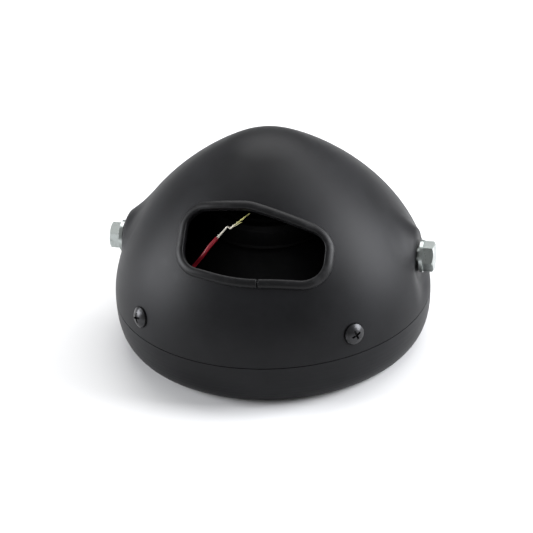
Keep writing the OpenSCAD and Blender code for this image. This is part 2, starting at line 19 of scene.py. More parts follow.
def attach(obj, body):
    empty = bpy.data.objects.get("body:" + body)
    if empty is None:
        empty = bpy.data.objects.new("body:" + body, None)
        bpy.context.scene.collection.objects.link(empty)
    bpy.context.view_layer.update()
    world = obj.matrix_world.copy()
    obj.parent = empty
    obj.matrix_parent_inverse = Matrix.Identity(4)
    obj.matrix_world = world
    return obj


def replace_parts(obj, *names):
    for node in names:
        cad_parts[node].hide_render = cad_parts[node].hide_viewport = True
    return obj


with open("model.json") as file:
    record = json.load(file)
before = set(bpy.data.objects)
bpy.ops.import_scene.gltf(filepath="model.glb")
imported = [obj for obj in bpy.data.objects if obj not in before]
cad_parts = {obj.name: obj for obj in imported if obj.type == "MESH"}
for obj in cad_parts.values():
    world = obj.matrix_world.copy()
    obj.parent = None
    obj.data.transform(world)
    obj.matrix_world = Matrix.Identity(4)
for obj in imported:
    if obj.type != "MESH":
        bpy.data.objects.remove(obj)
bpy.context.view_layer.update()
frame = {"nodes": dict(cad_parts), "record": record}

LOG = logging.getLogger("headlight")
MM = 0.001

Colour = tuple[float, float, float]
Vector = tuple[float, float, float]
Surface = tuple[np.ndarray, list]  # Points, and the point numbers of each face


# Shader maths


class Term:
    """A colour, number or vector on its way through a material's nodes."""

    def __init__(self, paint: "Paint", socket: bpy.types.NodeSocket) -> None:
        """Keeps the paint that owns the nodes, and the output socket."""
        self.paint = paint
        self.socket = socket

    def _math(self, operation: str, *others: "Term | float", swap: bool = False) -> "Term":
        """Adds one Math node.

        Args:
            operation: Name of the Math node's operation.
            others: The further inputs.
            swap: True where this term is the second input.

        Returns:
            The node's result.
        """
        inputs = [self, *others]
        if swap:
            inputs.reverse()
        return self.paint.add("ShaderNodeMath", {"operation": operation}, *inputs)

    def __add__(self, other: "Term | float") -> "Term":
        """Sum."""
        return self._math("ADD", other)

    __radd__ = __add__

    def __sub__(self, other: "Term | float") -> "Term":
        """Difference."""
        return self._math("SUBTRACT", other)

    def __rsub__(self, other: float) -> "Term":
        """Number minus this term."""
        return self._math("SUBTRACT", other, swap=True)

    def __mul__(self, other: "Term | float") -> "Term":
        """Product."""
        return self._math("MULTIPLY", other)

    __rmul__ = __mul__

    def __truediv__(self, other: "Term | float") -> "Term":
        """Quotient."""
        return self._math("DIVIDE", other)

    def above(self, edge: float) -> "Term":
        """1 where this term is above the edge, and 0 elsewhere."""
        return self._math("GREATER_THAN", edge)

    def between(self, low: float, high: float) -> "Term":
        """Smooth step from 0 at low to 1 at high.

        Args:
            low: Value that gives 0.
            high: Value that gives 1.

        Returns:
            The stepped term.
        """
        return self.paint.add(
            "ShaderNodeMapRange", {"interpolation_type": "SMOOTHSTEP", "clamp": True},
            self, float(low), float(high), 0.0, 1.0)


Value = Term | Colour | float


class Paint:
    """One material, with its nodes and its Principled shader."""

    def __init__(self, name: str) -> None:
        """Starts an empty material of that name."""
        self.material = bpy.data.materials.new(name)
        self.material.use_nodes = True
        self.tree = self.material.node_tree
        self.tree.nodes.clear()
        self.shader = self.tree.nodes.new("ShaderNodeBsdfPrincipled")
        output = self.tree.nodes.new("ShaderNodeOutputMaterial")
        self.tree.links.new(self.shader.outputs["BSDF"], output.inputs["Surface"])
        self._place: Term | None = None

    def _fill(self, socket: bpy.types.NodeSocket, value: Value) -> None:
        """Links a term to an input socket, or sets its value."""
        if isinstance(value, Term):
            self.tree.links.new(value.socket, socket)
        elif isinstance(value, tuple) and len(value) == 3 and socket.type == "RGBA":
            socket.default_value = (*value, 1.0)
        else:
            socket.default_value = value

    def add(self, kind: str, settings: dict[str, str | bool], *values: Value,
            output: int | str = 0, named: dict[str, Value] | None = None) -> Term:
        """Adds a node of any kind.

        Args:
            kind: Type of the node.
            settings: Properties that are set before its sockets are filled.
            values: Values or terms for its first enabled inputs, in order.
            output: Which output to give back, by its number or name.
            named: Values or terms for inputs by their name.

        Returns:
            The chosen output.
        """
        node = self.tree.nodes.new(kind)
        for key, value in settings.items():
            setattr(node, key, value)
        sockets = [socket for socket in node.inputs if socket.enabled]
        for socket, value in zip(sockets, values):
            self._fill(socket, value)
        for key, value in (named or {}).items():
            self._fill(next(s for s in sockets if s.name == key), value)
        outputs = [socket for socket in node.outputs if socket.enabled]
        if isinstance(output, str):
            return Term(self, next(s for s in outputs if s.name == output))
        return Term(self, outputs[output])

    def place(self) -> Term:
        """Object coordinates, in metres."""
        if self._place is None:
            self._place = self.add("ShaderNodeTexCoord", {}, output="Object")
        return self._place

    def axis(self, name: str) -> Term:
        """One coordinate of the place, in millimetres."""
        return self.add("ShaderNodeSeparateXYZ", {}, self.place(), output=name) / MM

    def stretched(self, scale: Vector) -> Term:
        """The place, scaled along each axis so that a pattern runs long."""
        return self.add("ShaderNodeMapping", {"vector_type": "POINT"}, self.place(),
                        named={"Scale": scale})

    def noise(self, size: float, detail: float, rough: float = 0.5,
              where: Term | None = None) -> Term:
        """Noise between 0 and 1.

        Args:
            size: Size of its patches.
            detail: Number of finer layers.
            rough: Strength of the finer layers.
            where: Coordinates, if not the plain place.

        Returns:
            The noise value.
        """
        return self.add("ShaderNodeTexNoise", {}, where or self.place(),
                        named={"Scale": 1 / (size * MM), "Detail": detail, "Roughness": rough})

    def cells(self, size: float, output: str = "Distance") -> Term:
        """Voronoi pattern.

        Args:
            size: Size of its cells.
            output: Distance to a cell's point, or Color for one random colour a cell.

        Returns:
            The distance or colour.
        """
        return self.add("ShaderNodeTexVoronoi", {"feature": "F1"}, self.place(),
                        named={"Scale": 1 / (size * MM)}, output=output)

    def specks(self, size: float, share: float, reach: float) -> Term:
        """Sparse soft dots.

        Args:
            size: Size of the cells that may hold a dot.
            share: Share of the cells that hold one.
            reach: Radius of a dot, as a share of its cell.

        Returns:
            1 in the dots and 0 elsewhere.
        """
        near = 1 - self.cells(size).between(reach * 0.5, reach)
        luck = self.add("ShaderNodeSeparateColor", {}, self.cells(size, "Color"))
        return near * luck.above(1 - share)

    def blend(self, factor: Term, first: Value, second: Value) -> Term:
        """Colour mix from first at 0 to second at 1."""
        node = self.tree.nodes.new("ShaderNodeMix")
        node.data_type = "RGBA"
        self._fill(node.inputs["Factor"], factor)
        for name, colour in (("A", first), ("B", second)):
            self._fill(next(s for s in node.inputs if s.name == name and s.type == "RGBA"), colour)
        return Term(self, next(s for s in node.outputs if s.type == "RGBA"))

    def bump(self, height: Term, depth: float, strength: float,
             below: Term | None = None) -> Term:
        """Normal from a height pattern.

        Args:
            height: Pattern between 0 and 1.
            depth: Height of the pattern.
            strength: Share of the effect.
            below: Normal of a coarser bump under this one.

        Returns:
            The normal.
        """
        named = {"Strength": strength, "Distance": depth * MM, "Height": height}
        if below is not None:
            named["Normal"] = below
        return self.add("ShaderNodeBump", {}, named=named)

    def wear(self, colour: Term, roughness: Term, normal: Term | None = None,
             metallic: Term | float = 0.0, **constants: float) -> bpy.types.Material:
        """Feeds the shader and gives back the material.

        Args:
            colour: Base colour.
            roughness: Roughness.
            normal: Normal of the bumps.
            metallic: Metallic share, or its term.
            constants: Values of further sockets, with _ for each space.

        Returns:
            The finished material.
        """
        inputs = self.shader.inputs
        self._fill(inputs["Base Color"], colour)
        self._fill(inputs["Roughness"], roughness)
        self._fill(inputs["Metallic"], metallic)
        if normal is not None:
            self._fill(inputs["Normal"], normal)
        for key, value in constants.items():
            self._fill(inputs[key.replace("_", " ")], value)
        return self.material


# Finishes


@dataclass(frozen=True)
class GrainedPlastic:
    """Black moulded plastic with a fine spark-eroded grain."""

    name: str
    colour: Colour = (0.005, 0.0051, 0.0058)
    pale: Colour = (0.009, 0.0092, 0.0104)
    dust: Colour = (0.2, 0.2, 0.19)
    roughness: float = 0.47
    sheen_of_light: float = 0.145
    cloud_size: float = 34.0
    rub_size: float = 11.0
    grain_size: float = 0.42
    grain_depth: float = 0.035
    wave_size: float = 26.0
    wave_depth: float = 0.05
    dust_size: float = 9.0
    dust_share: float = 0.012

    def material(self) -> bpy.types.Material:
        """Cloudy black with grain, faint mould waves, rubbed spots and a few specks of dust.

        Returns:
            The material.
        """
        paint = Paint(self.name)
        clouds = paint.noise(self.cloud_size, 4, 0.55)
        grain = paint.noise(self.grain_size, 2, 0.6)
        rubbed = paint.noise(self.rub_size, 5, 0.6).between(0.56, 0.74)
        dust = paint.specks(self.dust_size, self.dust_share, 0.06)
        colour = paint.blend(clouds.between(0.3, 0.7), self.colour, self.pale)
        colour = paint.blend(dust, colour, self.dust)
        roughness = (self.roughness + (clouds - 0.5) * 0.08 + (grain - 0.5) * 0.12
                     - rubbed * 0.035 + dust * 0.2)
        waves = paint.bump(paint.noise(self.wave_size, 1, 0.4), self.wave_depth, 0.5)
        normal = paint.bump(grain, self.grain_depth, 0.8, waves)
        return paint.wear(colour, roughness, normal, Specular_IOR_Level=self.sheen_of_light)


@dataclass(frozen=True)
class Rubber:
    """Black rubber with a smooth skin and a bloom of dust."""

    name: str
    colour: Colour = (0.006, 0.006, 0.0065)
    bloom: Colour = (0.013, 0.013, 0.014)
    roughness: float = 0.4
    gloss: float = 0.17
    patch_size: float = 5.5
    pit_size: float = 0.5
    pit_depth: float = 0.02
    swell_size: float = 4.0
    swell_depth: float = 0.06

    def material(self) -> bpy.types.Material:
        """Nearly black, with pale bloom in patches and a fine pitted skin.

        Returns:
            The material.
        """
        paint = Paint(self.name)
        patches = paint.noise(self.patch_size, 4, 0.6).between(0.5, 0.72)
        pits = paint.noise(self.pit_size, 3, 0.55)
        colour = paint.blend(patches * 0.55, self.colour, self.bloom)
        roughness = self.roughness + patches * 0.14 + (pits - 0.5) * 0.1
        swells = paint.bump(paint.noise(self.swell_size, 2), self.swell_depth, 0.4)
        normal = paint.bump(pits, self.pit_depth, 0.7, swells)
        return paint.wear(colour, roughness, normal, Specular_IOR_Level=self.gloss)


@dataclass(frozen=True)
class Metal:
    """Plated or bare metal, with drawn lines, dull spots and stains."""

    name: str
    colour: Colour
    stain: Colour
    roughness: float
    lines: Vector = (1.0, 1.0, 1.0)
    line_size: float = 0.5
    line_depth: float = 0.008
    spot_size: float = 2.4
    fine_size: float = 0.25
    fine_depth: float = 0.004
    dull: float = 0.14
    metallic: float = 1.0

    def material(self) -> bpy.types.Material:
        """Metal whose colour turns to the stain in spots and whose gloss follows fine lines.

        Returns:
            The material.
        """
        paint = Paint(self.name)
        spots = paint.noise(self.spot_size, 5, 0.62).between(0.48, 0.74)
        lines = paint.noise(self.line_size, 2, 0.5, paint.stretched(self.lines))
        fine = paint.bump(paint.noise(self.fine_size, 2, 0.5), self.fine_depth, 0.5)
        colour = paint.blend(spots * 0.8, self.colour, self.stain)
        roughness = self.roughness + spots * self.dull + (lines - 0.5) * 0.16
        normal = paint.bump(lines, self.line_depth, 0.8, fine)
        return paint.wear(colour, roughness, normal, metallic=self.metallic)


@dataclass(frozen=True)
class ReflectorCoat:
    """Mirror on the inside of the bowl, and dull black paint on its back."""

    name: str
    tip: float
    focal: float
    wall: float
    flange_top: float
    mirror: Colour = (0.86, 0.87, 0.88)
    black: Colour = (0.008, 0.008, 0.009)
    dusty: Colour = (0.014, 0.014, 0.015)
    cloud_size: float = 9.0
    texture_size: float = 0.6
    texture_depth: float = 0.02

    def material(self) -> bpy.types.Material:
        """Black paint wherever the surface lies behind the middle of the bowl's wall.

        The middle of the wall is the paraboloid z = tip - r * r / (4 * focal) + wall / 2.

        Returns:
            The material.
        """
        paint = Paint(self.name)
        x, y, z = (paint.axis(name) for name in "XYZ")
        wall_z = self.tip + self.wall / 2 - (x * x + y * y) / (4 * self.focal)
        behind = (z - wall_z).above(0) * z.above(self.flange_top)
        cloud = paint.noise(self.cloud_size, 4, 0.6)
        texture = paint.noise(self.texture_size, 3, 0.6)
        black = paint.blend(cloud.between(0.35, 0.7), self.black, self.dusty)
        colour = paint.blend(behind, self.mirror, black)
        roughness = 0.05 + cloud * 0.05 + behind * (0.5 + texture * 0.1)
        normal = paint.bump(texture * behind, self.texture_depth, 0.6)
        return paint.wear(colour, roughness, normal, metallic=1 - behind, Specular_IOR_Level=0.25)


@dataclass(frozen=True)
class ClearGlass:
    """Clear glass with faint waves."""

    name: str
    tint: Colour = (0.97, 0.985, 0.98)
    film_clear: float = 0.93
    film_size: float = 7.0
    wave_size: float = 12.0
    wave_depth: float = 0.05

    def material(self) -> bpy.types.Material:
        """Clear glass, a little wavy, with a thin uneven film of dust.

        Returns:
            The material.
        """
        paint = Paint(self.name)
        film = paint.noise(self.film_size, 4, 0.6).between(0.45, 0.8)
        filmed = tuple(self.film_clear * part for part in self.tint)
        colour = paint.blend(film * 0.5, self.tint, filmed)
        normal = paint.bump(paint.noise(self.wave_size, 1, 0.4), self.wave_depth, 0.6)
        return paint.wear(colour, 0.015 + film * 0.05, normal, Transmission_Weight=1.0, IOR=1.5)


@dataclass(frozen=True)
class WireSkin:
    """Soft insulation of a thin wire."""

    name: str
    colour: Colour = (0.24, 0.004, 0.014)
    worn: Colour = (0.14, 0.003, 0.009)
    roughness: float = 0.34
    patch_size: float = 6.0
    rib_size: float = 0.7
    rib_depth: float = 0.02

    def material(self) -> bpy.types.Material:
        """Deep red with darker handled patches and a slightly ribbed skin.

        Returns:
            The material.
        """
        paint = Paint(self.name)
        handled = paint.noise(self.patch_size, 4, 0.6).between(0.4, 0.7)
        ribs = paint.noise(self.rib_size, 2, 0.5)
        colour = paint.blend(handled, self.colour, self.worn)
        roughness = self.roughness + handled * 0.12 + (ribs - 0.5) * 0.1
        return paint.wear(colour, roughness, paint.bump(ribs, self.rib_depth, 0.6))


@dataclass(frozen=True)
class BareCopper:
    """Bare strands, pale with tin near the insulation and yellow beyond."""

    name: str
    pale_until: float
    yellow_from: float
    tin: Colour = (0.82, 0.78, 0.68)
    yellow: Colour = (0.62, 0.58, 0.16)
    bright: Colour = (0.78, 0.76, 0.36)
    roughness: float = 0.34
    metallic: float = 0.35
    mottle_size: float = 0.9
    mottle_depth: float = 0.02

    def material(self) -> bpy.types.Material:
        """The colour runs from tin to a greenish yellow along X.

        Returns:
            The material.
        """
        paint = Paint(self.name)
        along = paint.axis("X").between(self.pale_until, self.yellow_from)
        mottled = paint.noise(self.mottle_size, 3, 0.6)
        colour = paint.blend(along, self.tin, paint.blend(mottled, self.yellow, self.bright))
        normal = paint.bump(mottled, self.mottle_depth, 0.6)
        return paint.wear(colour, self.roughness + mottled * 0.16, normal, metallic=self.metallic)


@dataclass(frozen=True)
class PaleFloor:
    """White studio sweep."""

    name: str = "studio_floor"
    grey: Colour = (0.70, 0.70, 0.70)
    pale: Colour = (0.73, 0.73, 0.73)
    roughness: float = 0.85
    cloud_size: float = 240.0

    def material(self) -> bpy.types.Material:
        """Matt white with the faintest cloud.

        Returns:
            The material.
        """
        paint = Paint(self.name)
        cloud = paint.noise(self.cloud_size, 2, 0.5)
        colour = paint.blend(cloud, self.grey, self.pale)
        return paint.wear(colour, self.roughness + cloud * 0.05, Specular_IOR_Level=0.1)


Finish = GrainedPlastic | Rubber | Metal | ReflectorCoat | ClearGlass | WireSkin | BareCopper


# Shapes worked out as whole arrays


def in_scene(name: str, data: bpy.types.ID) -> bpy.types.Object:
    """Makes an object of that name and data, and puts it in the scene."""
    thing = bpy.data.objects.new(name, data)
    bpy.context.scene.collection.objects.link(thing)
    return thing


def set_pose(thing: bpy.types.Object, right: np.ndarray, up: np.ndarray, back: np.ndarray,
             place: Vector) -> None:
    """Turns a camera or a light.

    Args:
        thing: The object.
        right: Direction of its X.
        up: Direction of its Y.
        back: Direction of its Z, away from what it looks at or lights.
        place: Its place, in metres.
    """
    matrix = np.eye(4)
    matrix[:3] = np.stack([right, up, back, np.array(place)], axis=1)
    thing.matrix_world = Matrix(matrix.tolist())


def new_mesh(name: str, points: np.ndarray, faces: Iterable[Iterable[int]],
             material: bpy.types.Material) -> bpy.types.Object:
    """Makes a smooth object at the origin.

    Args:
        name: Name of the piece.
        points: Array of points in metres, one row each.
        faces: Lists of point numbers.
        material: Its only material.

    Returns:
        The object.
    """
    mesh = bpy.data.meshes.new(name)
    mesh.from_pydata(points.tolist(), [], [list(map(int, face)) for face in faces])
    mesh.materials.append(material)
    mesh.polygons.foreach_set("use_smooth", np.full(len(mesh.polygons), True))
    mesh.update()
    return in_scene(name, mesh)


def grid_faces(rows: int, columns: int, closed: bool = True, first: int = 0) -> np.ndarray:
    """Quads between the rows of a grid of points, whose columns may close on themselves.

    Args:
        rows: Number of rows.
        columns: Number of points in each row.
        closed: True where the last column joins the first.
        first: Number of the grid's first point.

    Returns:
        One row of four point numbers per quad.
    """
    spans = columns if closed else columns - 1
    row, column = np.meshgrid(np.arange(rows - 1), np.arange(spans), indexing="ij")
    ahead = (column + 1) % columns
    quads = np.stack([row * columns + column, row * columns + ahead,
                      (row + 1) * columns + ahead, (row + 1) * columns + column], axis=-1)
    return first + quads.reshape(-1, 4)


def smooth_path(route: tuple[Vector, ...], steps: int) -> np.ndarray:
    """Curve through every point: on each span, a cubic whose slopes follow its neighbours.

    The cubic is half of 2b + (c - a) t + (2a - 5b + 4c - d) t^2 + (3b - a - 3c + d) t^3, where b
    and c are the span's ends, and a and d the points beside them.

    Args:
        route: The chosen points.
        steps: Parts into which each span is cut.

    Returns:
        The points of the curve, in metres.
    """
    points = np.array(route, float)
    padded = np.concatenate([points[:1], points, points[-1:]])
    a, b, c, d = (padded[i:len(points) - 1 + i, None] for i in range(4))
    t = (np.arange(steps) / steps)[None, :, None]
    cubic = (2 * b + (c - a) * t + (2 * a - 5 * b + 4 * c - d) * t ** 2
             + (3 * b - a - 3 * c + d) * t ** 3)
    return np.concatenate([0.5 * cubic.reshape(-1, 3), points[-1:]]) * MM


def units(vectors: np.ndarray) -> np.ndarray:
    """Each vector divided by its length."""
    return vectors / np.linalg.norm(vectors, axis=-1, keepdims=True)


def walked_along(path: np.ndarray) -> np.ndarray:
    """Distance along a path up to each of its points."""
    return np.concatenate([[0], np.cumsum(np.linalg.norm(np.diff(path, axis=0), axis=1))])


def sampled(wanted: np.ndarray, walked: np.ndarray, rows: np.ndarray) -> np.ndarray:
    """Rows read off at the wanted distances, on straight lines between the given rows.

    Args:
        wanted: Distances to read at.
        walked: Distance of each given row.
        rows: The given rows.

    Returns:
        One row per wanted distance.
    """
    return np.stack([np.interp(wanted, walked, column) for column in rows.T], axis=1)


def soft_step(share: np.ndarray) -> np.ndarray:
    """Step from 0 to 1 that starts and ends level: 3 s^2 - 2 s^3 of the clipped share."""
    share = np.clip(share, 0, 1)
    return share * share * (3 - 2 * share)


def smooth_least(first: np.ndarray, second: np.ndarray, reach: np.ndarray | float) -> np.ndarray:
    """Lesser of two distances, rounded where they differ by less than the reach.

    Args:
        first: One distance.
        second: The other.
        reach: Width of the rounding.

    Returns:
        The rounded lesser distance.
    """
    share = np.clip(0.5 + 0.5 * (second - first) / reach, 0, 1)
    return second * (1 - share) + first * share - reach * share * (1 - share)


def unit_circle(count: int) -> np.ndarray:
    """Evenly spaced points of the unit circle: cos and sin of each angle, one row each."""
    angle = np.linspace(0, 2 * math.pi, count, endpoint=False)
    return np.stack([np.cos(angle), np.sin(angle)], axis=1)


def turned(rows: np.ndarray, circle: np.ndarray) -> np.ndarray:
    """Turns rows of radius and height round Z: the circle times the radius, at the height.

    Args:
        rows: Radius and height, one row each.
        circle: Points of the unit circle.

    Returns:
        One ring of places per row.
    """
    flat = rows[:, :1, None] * circle[None]
    height = np.broadcast_to(rows[:, 1:, None], flat.shape[:2] + (1,))
    return np.concatenate([flat, height], axis=-1)


def square_to(path: np.ndarray, lean: Vector) -> tuple[np.ndarray, np.ndarray]:
    """Two directions square to a path and to each other, at each of its points.

    Args:
        path: The points.
        lean: Direction that the path never takes. The first result is square to it too.

    Returns:
        Both directions.
    """
    ahead = units(np.gradient(path, axis=0))
    across = units(np.cross(ahead, np.array(lean)))
    return across, np.cross(ahead, across)


def round_tube(path: np.ndarray, radius: np.ndarray, sides: int, lean: Vector) -> Surface:
    """Circle carried along a path: each ring is path + radius * (cos a * u + sin a * v).

    The two directions u and v are square to the path, and u is square to the lean as well.

    Args:
        path: Points of the middle line.
        radius: Radius at each point.
        sides: Points in each ring.
        lean: Direction that the path never takes.

    Returns:
        The points, and the faces with both ends closed.
    """
    across, upward = square_to(path, lean)
    circle = unit_circle(sides)[None, :, :, None]
    ring = circle[:, :, 0] * across[:, None] + circle[:, :, 1] * upward[:, None]
    points = (path[:, None] + radius[:, None, None] * ring).reshape(-1, 3)
    faces = grid_faces(len(path), sides)[:, ::-1].tolist()
    faces.append(list(range(sides)))
    faces.append(list(range(len(points) - 1, len(points) - sides - 1, -1)))
    return points, faces


def closed_rings(rings: np.ndarray) -> Surface:
    """Skin over a stack of rings, with both ends closed.

    Args:
        rings: Points by ring, counter-clockwise as seen from beyond the last ring.

    Returns:
        Points and faces.
    """
    rows, columns = rings.shape[:2]
    faces = grid_faces(rows, columns).tolist()
    faces.append(list(range(columns - 1, -1, -1)))
    faces.append(list(range((rows - 1) * columns, rows * columns)))
    return rings.reshape(-1, 3), faces


def plug(origin: Vector, axis: Vector, steps: list[tuple[float, float]], sides: int = 48,
         aside: Vector = (0.13, 0.2, 0.97)) -> Surface:
    """Round plug: circles of the given radii, square to the axis.

    Args:
        origin: Zero of the axis.
        axis: Direction of the axis.
        steps: Distance along the axis and radius of each ring.
        sides: Points in each ring.
        aside: Direction that the axis doesn't have.

    Returns:
        Points in metres, and faces.
    """
    axis = units(np.array(axis, float))
    across = units(np.cross(aside, axis))
    turn = unit_circle(sides)
    circle = turn[:, :1] * across + turn[:, 1:] * np.cross(axis, across)
    along, radius = np.array(steps, float).T
    rings = np.array(origin) + along[:, None, None] * axis + radius[:, None, None] * circle[None]
    return closed_rings(rings * MM)


def merged(parts: list[Surface]) -> Surface:
    """Several lists of points and faces made one.

    Args:
        parts: Points and faces of each.

    Returns:
        All the points, and the faces numbered to match.
    """
    offsets = np.cumsum([0] + [len(points) for points, _ in parts])
    faces = [[number + int(offset) for number in face]
             for (_, own), offset in zip(parts, offsets) for face in own]
    return np.concatenate([points for points, _ in parts]), faces


# The lamp's own forms


@dataclass(frozen=True)
class DomeForm:
    """Outside of the shell: a curve from the belt to the rounded tip, turned round Z."""

    body_r: float = 79.0
    belt_z: float = 21.8
    side: float = 56.3
    run: float = 7.3
    cone_h: float = 109.8
    tip_r: float = 20.0
    wall: float = 2.6
    reach: float = 8.0

    def profile(self, steps: int = 400) -> tuple[np.ndarray, np.ndarray]:
        """Radius and height of the outside, and its outward directions.

        The flank is a cubic with four control points, and the tip is a ball that touches it where
        its radius is tip_r.

        Args:
            steps: Points on the flank.

        Returns:
            The points and the outward directions.
        """
        corners = np.array([[self.body_r, self.belt_z], [self.body_r, self.belt_z + self.side],
                            [self.run, self.cone_h], [0, self.cone_h]])
        t = np.linspace(0, 1, steps)[:, None]
        weights = [(1 - t) ** 3, 3 * t * (1 - t) ** 2, 3 * t * t * (1 - t), t ** 3]
        flank = np.concatenate(weights, axis=1) @ corners
        slope = np.gradient(flank, axis=0)
        out = units(np.stack([slope[:, 1], -slope[:, 0]], axis=1))
        keep = flank[:, 0] > self.tip_r
        flank, out = flank[keep], out[keep]
        ball = flank[-1, 0] / out[-1, 0]
        middle = flank[-1, 1] - ball * out[-1, 1]
        angle = np.linspace(math.atan2(out[-1, 1], out[-1, 0]), math.pi / 2, steps // 4)[1:]
        cap = np.stack([np.cos(angle), np.sin(angle)], axis=1)
        return np.concatenate([flank, ball * cap + [0, middle]]), np.concatenate([out, cap])

    def radius_at(self, height: np.ndarray, off: np.ndarray) -> np.ndarray:
        """Radius of a surface beside the outside, between the outside and two curves at reach.

        Args:
            height: Heights above the front edge.
            off: Distance out from the outside, for each height.

        Returns:
            The radii.
        """
        points, out = self.profile()
        curves = (points - self.reach * out, points, points + self.reach * out)
        inner, level, outer = (np.interp(height, curve[:, 1], curve[:, 0]) for curve in curves)
        return level + np.where(off < 0, level - inner, outer - level) * off / self.reach


@dataclass(frozen=True)
class OpeningForm:
    """Outline of the wiring opening in its leaning plane: circles joined by straight lines.

    The plane's own coordinates are x, as in the frame, and v, up the slope.
    """

    x: float = 3.6
    v: float = 15.8
    lean: float = 45.0
    width: float = 69.6
    height: float = 36.0
    top_r: float = 9.8
    low_r: float = 12.2
    crown_r: float = 21.0
    sole_r: float = 71.0
    right_low_v: float = -3.8
    right_top_v: float = 1.2
    crown_x: float = -5.6
    left_drop: float = 0.5
    left_low_v: float = -2.2
    sole_x: float = -0.6
    arc_steps: int = 60
    depth_from: float = 55.0
    depth_to: float = 120.0
    halvings: int = 40

    def corners(self) -> np.ndarray:
        """Centre and radius of each corner circle, in turn.

        Returns:
            One row per circle.
        """
        half_w, half_h = self.width / 2, self.height / 2
        return np.array([
            [half_w - self.low_r, self.right_low_v, self.low_r],
            [half_w - self.top_r, self.right_top_v, self.top_r],
            [self.crown_x, half_h - self.crown_r, self.crown_r],
            [self.top_r - half_w, half_h - self.top_r - self.left_drop, self.top_r],
            [self.low_r - half_w, self.left_low_v, self.low_r],
            [self.sole_x, self.sole_r - half_h, self.sole_r]])

    def outline(self, count: int) -> tuple[np.ndarray, np.ndarray]:
        """Evenly spaced points of the outline and their outward directions.

        The outward direction turns on each circle and stays on each line between two.

        Args:
            count: Number of points.

        Returns:
            Points and directions, counter-clockwise.
        """
        circles = self.corners()
        ahead = np.roll(circles, -1, axis=0)
        gap = ahead[:, :2] - circles[:, :2]
        leave = np.arctan2(gap[:, 1], gap[:, 0]) - np.arccos(
            (circles[:, 2] - ahead[:, 2]) / np.linalg.norm(gap, axis=1))
        enter = np.roll(leave, 1)
        sweep = (leave - enter) % (2 * math.pi)
        share = np.linspace(0, 1, self.arc_steps)[None, :]
        angle = (enter[:, None] + sweep[:, None] * share).reshape(-1)
        out = np.stack([np.cos(angle), np.sin(angle)], axis=1)
        circle = np.repeat(circles, self.arc_steps, axis=0)
        points = circle[:, :2] + circle[:, 2:] * out
        walked = walked_along(points)
        whole = walked[-1] + np.linalg.norm(points[0] - points[-1])
        rows = np.column_stack([points, np.unwrap(angle)])
        rows = np.vstack([rows, rows[0] + [0, 0, 2 * math.pi]])
        wanted = np.linspace(0, whole, count, endpoint=False)
        x, v, turn = sampled(wanted, np.append(walked, whole), rows).T
        return np.stack([x, v], axis=1), np.stack([np.cos(turn), np.sin(turn)], axis=1)

    def in_space(self, flat: np.ndarray, depth: np.ndarray) -> np.ndarray:
        """Places at a depth along the leaning plane's own axis, counted out from the origin.

        With the tilt t, y = v * cos t - depth * sin t and z = v * sin t + depth * cos t.

        Args:
            flat: Points in the opening's plane.
            depth: Distance along that axis.

        Returns:
            The places.
        """
        tilt = math.radians(90 - self.lean)
        x, v, depth = np.broadcast_arrays(flat[..., 0] + self.x, flat[..., 1] + self.v, depth)
        return np.stack([x, v * math.cos(tilt) - depth * math.sin(tilt),
                         v * math.sin(tilt) + depth * math.cos(tilt)], axis=-1)

    def on_dome(self, dome: DomeForm, flat: np.ndarray, off: np.ndarray) -> np.ndarray:
        """Where lines square to the opening's plane meet a surface beside the dome's outside.

        The span of depths that holds each point is halved again and again.

        Args:
            dome: The dome.
            flat: Points in the opening's plane.
            off: Distance of the surface out from the outside, for each point.

        Returns:
            The places in metres.
        """
        shape = flat.shape[:-1]
        low, high = np.full(shape, self.depth_from), np.full(shape, self.depth_to)
        for _ in range(self.halvings):
            depth = (low + high) / 2
            place = self.in_space(flat, depth)
            radius = np.hypot(place[..., 0], place[..., 1])
            outside = radius > dome.radius_at(place[..., 2], off)
            high = np.where(outside, depth, high)
            low = np.where(outside, low, depth)
        return place * MM


